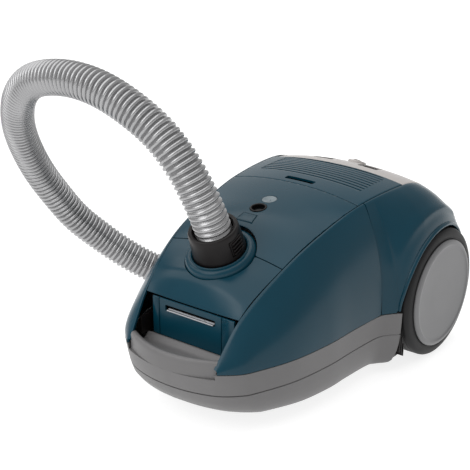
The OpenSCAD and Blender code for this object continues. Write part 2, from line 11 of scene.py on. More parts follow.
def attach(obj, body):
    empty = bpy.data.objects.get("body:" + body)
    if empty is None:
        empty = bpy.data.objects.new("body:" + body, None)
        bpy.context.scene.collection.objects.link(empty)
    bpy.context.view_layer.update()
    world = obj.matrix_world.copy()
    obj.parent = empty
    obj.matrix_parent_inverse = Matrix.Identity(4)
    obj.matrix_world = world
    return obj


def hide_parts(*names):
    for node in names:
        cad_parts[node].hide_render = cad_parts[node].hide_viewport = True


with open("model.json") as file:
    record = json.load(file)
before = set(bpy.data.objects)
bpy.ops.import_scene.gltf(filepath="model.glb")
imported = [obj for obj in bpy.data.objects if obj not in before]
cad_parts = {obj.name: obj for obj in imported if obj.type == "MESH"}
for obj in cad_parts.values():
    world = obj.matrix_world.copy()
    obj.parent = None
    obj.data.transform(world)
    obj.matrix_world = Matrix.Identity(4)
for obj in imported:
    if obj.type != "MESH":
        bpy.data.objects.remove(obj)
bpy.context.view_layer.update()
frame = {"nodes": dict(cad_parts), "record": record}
nodes = frame["nodes"]
MM = 0.001


# ---------------------------------------------------------------- camera
def make_camera():
    azimuth, elevation = math.radians(37.9), math.radians(20.8)
    place = Vector((688.2, -968.4, 602.9)) * MM
    camera = bpy.data.objects.new("camera", bpy.data.cameras.new("camera"))
    camera.data.lens = 88.1
    camera.data.sensor_width = 36
    camera.location = place
    camera.rotation_euler = Euler((math.pi / 2 - elevation, 0, azimuth))
    bpy.context.collection.objects.link(camera)
    bpy.context.scene.camera = camera


make_camera()

# ---------------------------------------------------------------- body surface, as in the CAD
TOP_Z = [(-160, 108), (-156, 122), (-145, 146), (-128, 157), (-106, 166), (-66, 190), (-26, 200), (34, 208),
         (100, 209), (140, 203), (170, 188), (195, 155)]
EDGE_X = [(-190, 58), (-156, 64), (-100, 75), (-40, 81), (22, 86), (107, 91), (150, 90), (185, 84), (205, 76)]
EDGE_Z = [(-190, 80), (-156, 123), (-100, 161), (-40, 183), (22, 197), (107, 200), (140, 193), (170, 176),
          (195, 147), (205, 125)]
SIDE_X = [(-190, 59), (-175, 76), (-161, 84), (-116, 100), (-63, 108), (-20, 109.5), (31, 113)]
LIP_X = [(31, 113), (42, 121), (52, 128), (80, 130), (130, 129), (165, 125), (205, 120)]
EDGE_STRIP, SEAM, JOINT_Z, WALL = 3.4, 0.8, 76, 2.4
LID_FRONT, LID_SEAM, GRILLE_SEAM, REAR_SEAM, FENDER_SEAM, REAR = -156, -100, 22, 107, 31, 203
PORT, TILT, RING_R = Vector((0, -110, 168)), math.radians(22), 39
PORT_AXIS = Vector((0, -math.sin(TILT), math.cos(TILT)))
AXLE_Y, AXLE_Z, ARCH_R = 127, 75, 80.5


def smooth(table, y):
    """Value at y on the smooth curve through a table's points."""
    y = max(table[0][0], min(y, table[-1][0]))
    i = 0
    while i < len(table) - 2 and y >= table[i + 1][0]:
        i += 1

    def slope(k):
        a, b = max(k - 1, 0), min(k + 1, len(table) - 1)
        return (table[b][1] - table[a][1]) / (table[b][0] - table[a][0])

    h = table[i + 1][0] - table[i][0]
    k = (y - table[i][0]) / h
    return (table[i][1] * (2 * k**3 - 3 * k**2 + 1) + slope(i) * h * (k**3 - 2 * k**2 + k)
            + table[i + 1][1] * (3 * k**2 - 2 * k**3) + slope(i + 1) * h * (k**3 - k**2))


def crown(x, y):
    """Height of the top covers' surface at a place."""
    return smooth(TOP_Z, y) - (smooth(TOP_Z, y) - smooth(EDGE_Z, y)) * abs(x / smooth(EDGE_X, y)) ** 2.2


def bend(a, b, c, s):
    """Point at s on the quadratic curve from a to c that heads for b."""
    return [(1 - s) ** 2 * p + 2 * s * (1 - s) * q + s * s * r for p, q, r in zip(a, b, c)]


def steps(a, b, n):
    """n + 1 evenly spaced values from a to b."""
    return [a + (b - a) * i / n for i in range(n + 1)]


def spline(points, spacing):
    """Points every spacing along the smooth curve through some points."""
    p = [Vector(q) for q in points]
    p = [2 * p[0] - p[1]] + p + [2 * p[-1] - p[-2]]
    fine = []
    for i in range(1, len(p) - 2):
        for k in range(24):
            t = k / 24
            fine.append(0.5 * (2 * p[i] + (p[i + 1] - p[i - 1]) * t
                               + (2 * p[i - 1] - 5 * p[i] + 4 * p[i + 1] - p[i + 2]) * t * t
                               + (3 * p[i] - p[i - 1] - 3 * p[i + 1] + p[i + 2]) * t**3))
    fine.append(p[-2])
    out, walked, due = [fine[0]], 0.0, spacing
    for a, b in zip(fine, fine[1:]):
        length = (b - a).length
        while walked + length >= due:
            out.append(a + (b - a) * ((due - walked) / length))
            due += spacing
        walked += length
    return out


# ---------------------------------------------------------------- mesh helpers
def make_object(name, verts, faces, angle=35):
    mesh = bpy.data.meshes.new(name)
    mesh.from_pydata([Vector(v) * MM for v in verts], [], faces)
    mesh.validate()
    mesh.update()
    for polygon in mesh.polygons:
        polygon.use_smooth = True
    mesh.set_sharp_from_angle(angle=math.radians(angle))
    obj = bpy.data.objects.new(name, mesh)
    bpy.context.collection.objects.link(obj)
    return obj


def turn_outward(obj, core=(0, 20, 90)):
    """Flips an open surface whose faces look towards the machine's core."""
    core = Vector(core) * MM
    if sum((f.center - core).dot(f.normal) * f.area for f in obj.data.polygons) < 0:
        obj.data.flip_normals()


def grid_faces(rows, columns, wrap=False):
    """Faces of a grid of points, closed into a tube with wrap."""
    faces = []
    for i in range(rows - 1):
        for j in range(columns if wrap else columns - 1):
            k = (j + 1) % columns
            faces.append((i * columns + j, i * columns + k, (i + 1) * columns + k, (i + 1) * columns + j))
    return faces


def bevel(obj, width, segments=3, angle=50):
    mod = obj.modifiers.new("edges", "BEVEL")
    mod.width = width * MM
    mod.segments = segments
    mod.limit_method = "ANGLE"
    mod.angle_limit = math.radians(angle)
    mod.harden_normals = True


def bake(obj):
    """Applies an object's modifiers, so that its mesh is its real shape."""
    depsgraph = bpy.context.evaluated_depsgraph_get()
    mesh = bpy.data.meshes.new_from_object(obj.evaluated_get(depsgraph))
    obj.modifiers.clear()
    obj.data = mesh
    return obj


def shell(name, rows, thick=WALL, edge=0.7, core=(0, 20, 90)):
    """A moulded panel: an outer surface given as rows of points, its thickness and its rounded edges."""
    obj = make_object(name, [p for r in rows for p in r], grid_faces(len(rows), len(rows[0])), 60)
    turn_outward(obj, core)
    solid = obj.modifiers.new("thickness", "SOLIDIFY")
    solid.thickness = thick * MM
    solid.offset = -1
    solid.use_even_offset = True
    if edge:
        bevel(obj, edge)
    return bake(obj)


def lathe(name, profile, frame_matrix, sides=96):
    """Ring-shaped piece turned from a closed [radius, height] profile about the +Z axis of a matrix."""
    verts, n = [], len(profile)
    for i in range(sides):
        a = 2 * math.pi * i / sides
        for r, h in profile:
            verts.append(frame_matrix @ Vector((r * math.cos(a), r * math.sin(a), h)))
    faces = []
    for i in range(sides):
        for j in range(n):
            a, b = i * n + j, i * n + (j + 1) % n
            c, d = ((i + 1) % sides) * n + (j + 1) % n, ((i + 1) % sides) * n + j
            faces.append((a, d, c, b))
    obj = make_object(name, verts, faces, 40)
    close(obj)
    return obj


def close(obj):
    """Makes a closed mesh's faces look outwards and joins its doubled points."""
    bm = bmesh.new()
    bm.from_mesh(obj.data)
    bmesh.ops.remove_doubles(bm, verts=bm.verts, dist=1e-6)
    bmesh.ops.recalc_face_normals(bm, faces=bm.faces)
    bm.to_mesh(obj.data)
    bm.free()


def rounded(profile, radius, per_corner=4):
    """A closed [radius, height] profile with its corners rounded."""
    out, n = [], len(profile)
    for i in range(n):
        p, a, b = (Vector(profile[k % n]) for k in (i, i - 1 + n, i + 1))
        r = min(radius, (a - p).length * 0.45, (b - p).length * 0.45)
        p0, p1 = p + (a - p).normalized() * r, p + (b - p).normalized() * r
        for k in range(per_corner + 1):
            out.append(bend(p0, p, p1, k / per_corner))
    return out


def ring_loft(name, rings, angle=35):
    """Closed solid through rings of equally many points, with both ends filled."""
    n = len(rings[0])
    faces = grid_faces(len(rings), n, wrap=True)
    faces += [tuple(range(n)), tuple(range((len(rings) - 1) * n, len(rings) * n))]
    obj = make_object(name, [p for r in rings for p in r], faces, angle)
    close(obj)
    return obj


def rounded_box(name, size, matrix, edge=1.2, taper=0.0, dish=0.0):
    """Block of a size about the matrix origin, with rounded edges and sides that taper; dish is not used."""
    x, y, z = (s / 2 for s in size)
    rings = []
    for h in (-z, z):
        k = 1 - taper * (h > 0)
        rings.append([matrix @ Vector(p) for p in ((-x * k, -y * k, h), (x * k, -y * k, h), (x * k, y * k, h),
                                                   (-x * k, y * k, h))])
    obj = ring_loft(name, rings, 30)
    bevel(obj, edge, 4, 30)
    return bake(obj)


def cut(obj, cutters):
    """Cuts openings of the cutters' shapes into a piece."""
    for cutter in cutters:
        mod = obj.modifiers.new("opening", "BOOLEAN")
        mod.operation = "DIFFERENCE"
        mod.solver = "EXACT"
        mod.object = cutter
    bake(obj)
    for cutter in cutters:
        bpy.data.objects.remove(cutter)
    for polygon in obj.data.polygons:
        polygon.use_smooth = True
    obj.data.set_sharp_from_angle(angle=math.radians(32))
    return obj


def cutter_round(radius, matrix, height=80, sides=96):
    ring = [(radius * math.cos(2 * math.pi * i / sides), radius * math.sin(2 * math.pi * i / sides))
            for i in range(sides)]
    return ring_loft("cutter", [[matrix @ Vector((x, y, h)) for x, y in ring] for h in (-height / 2, height / 2)])


def cutter_slot(x, y, radius, matrix, height=60):
    """Cutter of an x by y rectangle with rounded corners."""
    ring = []
    for sx, sy, turn in ((1, 1, 0), (-1, 1, 90), (-1, -1, 180), (1, -1, 270)):
        for k in range(7):
            a = math.radians(turn + 15 * k)
            ring.append((sx * (x / 2 - radius) + radius * math.cos(a),
                         sy * (y / 2 - radius) + radius * math.sin(a)))
    return ring_loft("cutter", [[matrix @ Vector((u, v, h)) for u, v in ring] for h in (-height / 2, height / 2)])


def join(name, objects):
    """One piece made of several meshes, taking their materials along."""
    bm = bmesh.new()
    materials = []
    for obj in objects:
        index = {}
        for slot_no, mat in enumerate(obj.data.materials):
            if mat not in materials:
                materials.append(mat)
            index[slot_no] = materials.index(mat)
        first = len(bm.faces)
        bm.from_mesh(obj.data)
        bm.faces.ensure_lookup_table()
        for face in bm.faces[first:]:
            face.material_index = index.get(face.material_index, 0)
    mesh = bpy.data.meshes.new(name)
    bm.to_mesh(mesh)
    bm.free()
    for mat in materials:
        mesh.materials.append(mat)
    for obj in objects:
        bpy.data.objects.remove(obj)
    out = bpy.data.objects.new(name, mesh)
    bpy.context.collection.objects.link(out)
    return out


def tube_along(name, path, radius_at, sides=32, up=Vector((0, 0, 1))):
    """Tube whose radius at each of a path's points comes from radius_at(index)."""
    rings, side = [], None
    for i, p in enumerate(path):
        t = (path[min(i + 1, len(path) - 1)] - path[max(i - 1, 0)]).normalized()
        if side is None:
            side = t.cross(up if abs(t.dot(up)) < 0.9 else Vector((0, 1, 0))).normalized()
        side = (side - t * side.dot(t)).normalized()
        other = t.cross(side)
        r = radius_at(i)
        angles = [2 * math.pi * k / sides for k in range(sides)]
        rings.append([p + r * (math.cos(a) * side + math.sin(a) * other) for a in angles])
    return ring_loft(name, rings, 60)


# ---------------------------------------------------------------- materials
def material(name, color, roughness, metallic=0.0, grain=0.0, grain_size=0.4, tint=0.06, ior=1.5, sheen=0.0,
             specks=None):
    """Moulded, lacquered or woven surface: colour drifts by tint, and a bump of grain mm every grain_size mm."""
    mat = bpy.data.materials.new(name)
    mat.use_nodes = True
    tree = mat.node_tree
    shader = tree.nodes["Principled BSDF"]
    shader.inputs["Metallic"].default_value = metallic
    shader.inputs["IOR"].default_value = ior
    shader.inputs["Sheen Weight"].default_value = sheen
    coords = tree.nodes.new("ShaderNodeTexCoord")
    drift = tree.nodes.new("ShaderNodeTexNoise")
    drift.inputs["Scale"].default_value = 14
    drift.inputs["Detail"].default_value = 3
    tree.links.new(coords.outputs["Object"], drift.inputs["Vector"])
    ramp = tree.nodes.new("ShaderNodeValToRGB")
    ramp.color_ramp.elements[0].position = 0.3
    ramp.color_ramp.elements[1].position = 0.7
    ramp.color_ramp.elements[0].color = [c * (1 - tint) for c in color] + [1]
    ramp.color_ramp.elements[1].color = [min(c * (1 + tint), 1) for c in color] + [1]
    tree.links.new(drift.outputs["Fac"], ramp.inputs["Fac"])
    color_out = ramp.outputs["Color"]
    rough = tree.nodes.new("ShaderNodeMapRange")
    rough.inputs["To Min"].default_value = roughness * 0.88
    rough.inputs["To Max"].default_value = min(roughness * 1.12, 1)
    smudge = tree.nodes.new("ShaderNodeTexNoise")
    smudge.inputs["Scale"].default_value = 55
    tree.links.new(coords.outputs["Object"], smudge.inputs["Vector"])
    tree.links.new(smudge.outputs["Fac"], rough.inputs["Value"])
    tree.links.new(rough.outputs["Result"], shader.inputs["Roughness"])
    if specks:
        spots = tree.nodes.new("ShaderNodeTexVoronoi")
        spots.inputs["Scale"].default_value = specks[0]
        tree.links.new(coords.outputs["Object"], spots.inputs["Vector"])
        mix = tree.nodes.new("ShaderNodeMixRGB")
        mix.inputs["Color2"].default_value = list(specks[1]) + [1]
        pick = tree.nodes.new("ShaderNodeMapRange")
        pick.inputs["From Min"].default_value = 0.1
        pick.inputs["From Max"].default_value = 0.45
        pick.inputs["To Min"].default_value = 0.6
        pick.inputs["To Max"].default_value = 0.0
        tree.links.new(spots.outputs["Distance"], pick.inputs["Value"])
        tree.links.new(pick.outputs["Result"], mix.inputs["Fac"])
        tree.links.new(color_out, mix.inputs["Color1"])
        color_out = mix.outputs["Color"]
    tree.links.new(color_out, shader.inputs["Base Color"])
    if grain:
        fine = tree.nodes.new("ShaderNodeTexNoise")
        fine.inputs["Scale"].default_value = 1000 / grain_size / 3
        fine.inputs["Detail"].default_value = 2
        tree.links.new(coords.outputs["Object"], fine.inputs["Vector"])
        bump = tree.nodes.new("ShaderNodeBump")
        bump.inputs["Distance"].default_value = grain * MM
        bump.inputs["Strength"].default_value = 1.0
        tree.links.new(fine.outputs["Fac"], bump.inputs["Height"])
        tree.links.new(bump.outputs["Normal"], shader.inputs["Normal"])
    return mat


MAT = {
    "petrol_gloss": material("petrol_gloss", (0.0012, 0.035, 0.057), 0.24, ior=1.33, grain=0.003, grain_size=1.6),
    "grey_mould": material("grey_mould", (0.135, 0.132, 0.133), 0.42, ior=1.4, grain=0.02, grain_size=0.35),
    "black_mould": material("black_mould", (0.008, 0.0065, 0.0065), 0.33, ior=1.3, grain=0.012, grain_size=0.4),
    "pale_cover": material("pale_cover", (0.40, 0.375, 0.36), 0.3, grain=0.008, grain_size=0.5, tint=0.03),
    "silver_paint": material("silver_paint", (0.45, 0.46, 0.48), 0.28, metallic=0.75, grain=0.006, grain_size=0.2),
    "hose_silver": material("hose_silver", (0.36, 0.36, 0.365), 0.26, metallic=0.8, grain=0.02, grain_size=0.3,
                            tint=0.1),
    "tyre_rubber": material("tyre_rubber", (0.011, 0.011, 0.0115), 0.5, ior=1.3, grain=0.03, grain_size=0.5,
                            tint=0.12),
    "hub_grey": material("hub_grey", (0.165, 0.165, 0.169), 0.38, ior=1.42, grain=0.02, grain_size=0.35),
    "dark_rubber": material("dark_rubber", (0.008, 0.008, 0.009), 0.7, grain=0.03, grain_size=0.5),
    "steel": material("steel", (0.5, 0.5, 0.51), 0.3, metallic=1.0, grain=0.006, grain_size=0.2),
    "bag_paper": material("bag_paper", (0.55, 0.47, 0.35), 0.9, grain=0.12, grain_size=1.2, tint=0.12, sheen=0.3),
    "bag_card": material("bag_card", (0.4, 0.27, 0.15), 0.85, grain=0.06, grain_size=0.8, tint=0.12),
    "filter_fleece": material("filter_fleece", (0.10, 0.10, 0.11), 0.9, grain=0.15, grain_size=0.8, sheen=0.2),
    "foam": material("foam", (0.03, 0.03, 0.034), 0.95, grain=0.35, grain_size=1.5),
    "board_green": material("board_green", (0.008, 0.07, 0.03), 0.4, grain=0.01, specks=(900, (0.3, 0.22, 0.06))),
    "flag_orange": material("flag_orange", (0.6, 0.13, 0.03), 0.3, grain=0.005),
    "lens": material("lens", (0.003, 0.0035, 0.004), 0.1, ior=1.25, grain=0.001, grain_size=3),
    "lamp_grey": material("lamp_grey", (0.15, 0.19, 0.21), 0.3, grain=0.004),
    "floor": material("floor", (0.35, 0.35, 0.35), 0.7, grain=0.03, grain_size=2, tint=0.01),
}


def finish_piece(obj, slot_name, body, replaced=(), mat=None):
    """Gives a piece its material and its body, and hides the CAD nodes that it stands for."""
    obj.data.materials.clear()
    obj.data.materials.append(MAT[mat or slot_name])
    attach(obj, body)
    if replaced:
        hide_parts(*replaced)
    return obj


def port_matrix(height=0):
    return Matrix.Translation(PORT + PORT_AXIS * height) @ Matrix.Rotation(TILT, 4, "X")


# ---------------------------------------------------------------- hose
HOSE_ROUTE = [(0, -114, 178), (0, -121, 196), (-6, -129, 223), (-24, -136, 259), (-50, -141, 289), (-83, -146, 311),
              (-121, -149, 326), (-161, -149, 331), (-201, -146, 327), (-239, -137, 315), (-271, -125, 294),
              (-298, -108, 267), (-318, -89, 237), (-330, -68, 204), (-335, -46, 170), (-331, -24, 136),
              (-320, -3, 103), (-300, 20, 74), (-274, 41, 49), (-246, 62, 30), (-219, 85, 21), (-204, 128, 20),
              (-195, 170, 20), (-183, 206, 20), (-163, 238, 20), (-136, 266, 20), (-107, 292, 20), (-84, 320, 20),
              (-69, 354, 20), (-63, 390, 20), (-66, 426, 20), (-79, 460, 20), (-100, 490, 20), (-128, 513, 20),
              (-162, 528, 20), (-190, 533, 20)]
HOSE_R, HOSE_PITCH, PER_PITCH = 20, 6.0, 8
CREST_INSET, VALLEY_DEPTH = 0.5, 2.6


def make_hose():
    path = spline(HOSE_ROUTE, HOSE_PITCH / PER_PITCH)
    # Radius over one pitch: a broad round crest and a narrow valley
    wave = [0, 0.55, 0.88, 1.0, 1.0, 0.88, 0.55, 0.1]

    def radius_at(i):
        return HOSE_R - CREST_INSET - VALLEY_DEPTH * (1 - wave[i % PER_PITCH])

    hose = tube_along("hose_corrugated", path, radius_at, sides=40)
    finish_piece(hose, "hose_silver", "root", ["hose"])


make_hose()

# ---------------------------------------------------------------- casing
def mirrored(rows, s):
    return [[(s * x, y, z) for x, y, z in row] for row in rows]


def side_panel_rows():
    rows = []
    for y in steps(-189.6, FENDER_SEAM - 1.4, 90):
        top = (smooth(EDGE_X, y), smooth(EDGE_Z, y))
        foot = (smooth(SIDE_X, y), JOINT_Z)
        knee = (foot[0] + 2, JOINT_Z + (top[1] - JOINT_Z) * 0.55)
        flank = [bend(top, knee, foot, s) for s in steps(0.03, 1, 26)]
        inner = (top[0] - EDGE_STRIP + SEAM, top[1] + 0.5)
        turn = [bend((top[0] - 1.4, top[1] + 0.35), top, flank[0], s) for s in steps(0, 1, 5)]
        rows.append([(p[0], y, p[1]) for p in [inner] + turn + flank[1:]])
    return rows


def arch_z(y):
    """Height of the fender's lower edge: the wheel arch, or the joint line beside it."""
    d = y - AXLE_Y
    return JOINT_Z if abs(d) >= ARCH_R else max(JOINT_Z, AXLE_Z + math.sqrt(ARCH_R**2 - d * d))


def fender_rows():
    """Fender surface with a soft shoulder that swells above the arch."""
    rows = []
    stations = sorted(steps(FENDER_SEAM, 196, 84) + [46.6, 46.9, 47.2, 47.6])
    for y in stations:
        top = (smooth(EDGE_X, y), smooth(EDGE_Z, y))
        foot = (smooth(LIP_X, y), arch_z(y))
        height = top[1] - foot[1]
        swell = max(0.0, min(1.0, (y - FENDER_SEAM) / 60)) * max(0.0, min(1.0, (200 - y) / 30))
        knee = (foot[0] - 1 - 3 * swell - 0.6 * (foot[0] - 113) * (1 - swell),
                foot[1] + height * (0.55 + 0.12 * swell))
        flank = []
        for s in steps(0.03, 1, 26):
            x, z = bend(top, knee, foot, s)
            crease = swell * 3.0 * math.exp(-((s - 0.6) / 0.11) ** 2)
            flank.append((min(x + crease, foot[0] + 0.2 if s > 0.9 else foot[0] + 1), z))
        inner = (top[0] - EDGE_STRIP + SEAM, top[1] + 0.5)
        turn = [bend((top[0] - 1.4, top[1] + 0.35), top, flank[0], s) for s in steps(0, 1, 5)]
        rows.append([(p[0], y, p[1]) for p in [inner] + turn + flank[1:]])
    return rows


def arch_lip(s):
    """Raised bead round the wheel arch, thickest at its top, as a lofted ring of round sections."""
    start, sweep = math.radians(2), math.radians(138)
    rings = []
    for a in steps(start, math.radians(140), 90):
        thick = 1.3 + 1.5 * max(0.0, math.sin((a - start) / sweep * math.pi)) ** 0.6
        radius = ARCH_R - 1.1
        y, z = AXLE_Y - radius * math.cos(a), AXLE_Z + radius * math.sin(a)
        x = smooth(LIP_X, y) - 0.4
        ring = []
        for k in range(16):
            t = 2 * math.pi * k / 16
            out, side = thick * math.cos(t), thick * 1.25 * math.sin(t)
            ring.append((s * (x + side), y - out * math.cos(a), z + out * math.sin(a)))
        rings.append(ring)
    return rings


def make_flanks():
    for side, s in (("left", -1), ("right", 1)):
        panel = shell("side_panel_skin_" + side, mirrored(side_panel_rows(), s), core=(0, -60, 100))
        finish_piece(panel, "petrol_gloss", "root", ["side_panel_" + side])
        fender = shell("rear_fender_skin_" + side, mirrored(fender_rows(), s), core=(0, 110, 120))
        lip = ring_loft("lip", arch_lip(s), 50)
        fender = join("rear_fender_skin_" + side, [fender, lip])
        finish_piece(fender, "petrol_gloss", "root", ["rear_fender_" + side])


# Half outline of the pan at the joint, front to rear, as (x, y)
PAN_OUTLINE = [(0, -204), (20, -202.5), (40, -198), (59, -190), (76, -175), (84, -161), (100, -116), (108, -63),
               (109.5, -20), (112.6, 25), (119, 38), (128.5, 49), (101, 49.4), (101, 120), (101, 165), (99, 192),
               (90, 195.5), (60, 200.8), (0, REAR)]
PAN_SHARP, PAN_REAR = 11, 15
# Levels as (z, share of the width, share of the front length, share of the rear length)
PAN_LEVELS = [(12, 0.87, 0.72, 0.90), (14, 0.905, 0.76, 0.92), (17, 0.93, 0.80, 0.94), (23, 0.952, 0.86, 0.962),
              (30, 0.97, 0.91, 0.98), (40, 0.984, 0.95, 0.993), (49.1, 0.99, 0.968, 1), (49.5, 0.983, 0.962, 0.994),
              (50.3, 0.983, 0.962, 0.994), (50.7, 0.991, 0.971, 1), (62, 0.996, 0.986, 1), (75.2, 1, 1, 1)]


def pan_half():
    """The outline's points, smoothed in front of the wheel and behind it, with sharp corners at its opening."""
    front = [tuple(p) for p in spline([(x, y, 0) for x, y in PAN_OUTLINE[:PAN_SHARP + 1]], 5)]
    back = [tuple(p) for p in spline([(x, y, 0) for x, y in PAN_OUTLINE[PAN_SHARP + 1:PAN_REAR]], 8)]
    rear = [tuple(p) for p in spline([(x, y, 0) for x, y in PAN_OUTLINE[PAN_REAR:]], 5)]
    half = front + [(*PAN_OUTLINE[PAN_SHARP], 0)] + back + rear + [(0, REAR, 0)]
    out = [half[0]]
    for p in half[1:]:
        if (Vector(p) - Vector(out[-1])).length > 0.4:
            out.append(p)
    return out


def make_pan():
    half = pan_half()
    loop = half + [(-x, y, z) for x, y, z in reversed(half[1:-1])]
    rows = []
    for z, w, front, rear in PAN_LEVELS:
        rows.append([(x * w, y * (front if y < 0 else rear), z) for x, y, _ in loop])
    verts = [p for row in rows for p in row]
    faces = grid_faces(len(rows), len(loop), wrap=True) + [tuple(range(len(loop)))]
    pan = make_object("base_pan_tub", verts, faces, 40)
    turn_outward(pan, (0, 0, 60))
    solid = pan.modifiers.new("thickness", "SOLIDIFY")
    solid.thickness = 2.6 * MM
    solid.offset = -1
    bake(pan)
    caster = Matrix.Translation(Vector((0, -106, 20)))
    nose = ring_loft("cutter", [[(-57.5, y, z), (57.5, y, z), (57.5, y, 92), (-57.5, y, 92)]
                                for y, z in ((-222, 69.8), (-150, 69.8))])
    cut(pan, [nose, cutter_round(36.4, caster, 50)])
    finish_piece(pan, "grey_mould", "root", ["base_pan"])
    for side, s in (("left", -1), ("right", 1)):
        fins = [rounded_box("fin", (14, 1.6, tall), Matrix.Translation((s * 120, y, z)), 0.5)
                for y, z, tall in ((50.6, 40, 26), (54.6, 33, 22), (58.6, 27, 15))]
        fins.append(rounded_box("foot", (10, 15, 3), Matrix.Translation((s * 115, 53, 20.5)), 0.5))
        fins = join("wheel_guard_fins_" + side, fins)
        finish_piece(fins, "black_mould", "root")


def make_front_grip():
    reach = 0.32
    rows = []
    for x in steps(-56.8, 56.8, 60):
        y = -203 + 16 * (x / 57) ** 2
        profile = [(y, 70), (y, 84), (y + 1.5, 87), (y + 4, 88), (y + 8, 87), (y + 11, 83), (y + 16, 74),
                   (-166, 73.5), (-160.5, 79), (-157.6, 79), (-157.6, 70)]
        ring = []
        for i, p in enumerate(profile):
            if 1 <= i <= 9:
                a, b = profile[i - 1], profile[(i + 1) % len(profile)]
                p0 = [p[k] + (a[k] - p[k]) * min(reach, 3 / max(math.dist(a, p), 1)) for k in (0, 1)]
                p1 = [p[k] + (b[k] - p[k]) * min(reach, 3 / max(math.dist(b, p), 1)) for k in (0, 1)]
                ring += [bend(p0, p, p1, t) for t in steps(0, 1, 3)]
            else:
                ring.append(p)
        rows.append([(x, u, v) for u, v in ring])
    grip = ring_loft("front_grip_lip", rows, 40)
    finish_piece(grip, "grey_mould", "root", ["front_grip"])


# ---------------------------------------------------------------- top covers
def in_cover(x, y, y0, y1):
    return y0 <= y <= y1 and abs(x) <= smooth(EDGE_X, y) - EDGE_STRIP


def fan_rows(y0, y1, angles, count):
    """A cover's surface between the port's round seam and its own border, as rays from the port."""

    def march(test, theta, low, high):
        for _ in range(40):
            middle = (low + high) / 2
            x, y = middle * math.cos(theta), PORT.y + middle * math.sin(theta)
            low, high = (middle, high) if test(x, y) else (low, middle)
        return low

    def inside_seam(x, y):
        d = Vector((x, y, crown(x, y))) - PORT
        return (d - PORT_AXIS * d.dot(PORT_AXIS)).length < RING_R or PORT.y < y0 and y < y0

    rows = []
    for theta in angles:
        r_in = march(inside_seam, theta, 0, 110)
        r_out = march(lambda x, y: in_cover(x, y, y0, y1), theta, r_in + 0.1, 260)
        row = []
        for t in steps(0, 1, count):
            r = r_in + (r_out - r_in) * t
            x, y = r * math.cos(theta), PORT.y + r * math.sin(theta)
            row.append((x, y, crown(x, y)))
        rows.append(row)
    return rows


def fan_angles(first, last, n, corners):
    """Ray angles from the port, with one through each corner of the cover."""
    angles = steps(first, last, n)
    for y in corners:
        x = smooth(EDGE_X, y) - EDGE_STRIP
        for s in (-1, 1):
            a = math.atan2(y - PORT.y, s * x)
            if a < first:
                a += 2 * math.pi
            if first < a < last:
                angles.append(a)
    return sorted(set(round(a, 5) for a in angles))


def make_front_lid():
    y1 = LID_SEAM - SEAM / 2
    start = math.asin((y1 - PORT.y) / 41.5)
    angles = fan_angles(math.pi - start, 2 * math.pi + start, 150, (LID_FRONT, y1))
    lid = shell("front_lid_skin", fan_rows(LID_FRONT, y1, angles, 22), edge=0.6)
    finish_piece(lid, "petrol_gloss", "front_lid", ["front_lid"])


def make_accessory_lid():
    y0, y1 = LID_SEAM + SEAM / 2 + 0.2, GRILLE_SEAM - SEAM / 2 - 0.6
    start = math.atan2(y0 - PORT.y, smooth(EDGE_X, y0) - EDGE_STRIP) + 0.002
    angles = fan_angles(start, math.pi - start, 130, (y1,))
    lid = shell("accessory_lid_skin", fan_rows(y0, y1, angles, 44), edge=0.6)
    button = ring_loft("cutter", [[(-10.9, -69.9, z), (10.9, -69.9, z), (9.2, -57.1, z), (-9.2, -57.1, z)]
                                  for z in (150, 230)])
    window = cutter_round(9.5, Matrix.Translation((0, -44, 190)))
    lamp = cutter_round(8.3, Matrix.Translation((0, -24, 200)))
    cut(lid, [button, window, lamp])
    finish_piece(lid, "petrol_gloss", "accessory_lid", ["accessory_lid"])


def make_lid_details():
    # Push button: a tapered key with a dished, sloping top that follows the lid
    rings = []
    for lift, inset in ((-8, 0.0), (-0.6, 0.0), (0.2, 0.25), (0.7, 0.9), (0.45, 2.2), (0.1, 4.2)):
        ring = []
        for x, y in ((-10.4, -69.4), (10.4, -69.4), (8.7, -57.6), (-8.7, -57.6)):
            k = 1 - inset / 12
            px, py = x * k, -63.5 + (y + 63.5) * (1 - inset / 6)
            ring.append((px, py, crown(px, py) + lift))
        rings.append([bend(ring[i], ring[i], ring[(i + 1) % 4], t) for i in range(4) for t in steps(0, 0.875, 7)])
    key = ring_loft("push_button_key", rings, 30)
    finish_piece(key, "petrol_gloss", "push_button", ["push_button"])
    tilt = math.radians(10)
    seat = Matrix.Translation((0, -44, crown(0, -44))) @ Matrix.Rotation(tilt, 4, "X")
    rim = rounded([(7.2, -4.2), (9.2, -4.2), (9.2, 0.2), (8.4, 0.8), (7.2, 0.2)], 0.5)
    bezel = lathe("window_ring", rim, seat, 72)
    finish_piece(bezel, "black_mould", "accessory_lid", ["window_bezel"])
    glass = [(r, -3.4 + 0.8 * (1 - (r / 7.1) ** 2)) for r in steps(7.1, 0.02, 12)]
    lens = lathe("window_lens", glass + [(0.02, -3.9), (7.1, -3.9)], seat, 72)
    finish_piece(lens, "black_mould", "accessory_lid", mat="lens")
    spot = Matrix.Translation((0, -24, crown(0, -24))) @ Matrix.Rotation(math.radians(8), 4, "X")
    dish = [(6.4, -2.4), (6.4, -0.1), (5.9, 0.25), (5.2, 0.05)] + [(r, -1.4 + 1.3 * (r / 5) ** 2)
                                                                     for r in steps(4.6, 1.6, 6)]
    dish += [(1.3, -0.9), (0.8, -0.6), (0.02, -0.5), (0.02, -2.4)]
    lamp = lathe("status_lamp", [(r * 1.26, z) for r, z in dish], spot, 72)
    finish_piece(lamp, "silver_paint", "accessory_lid", mat="lamp_grey")


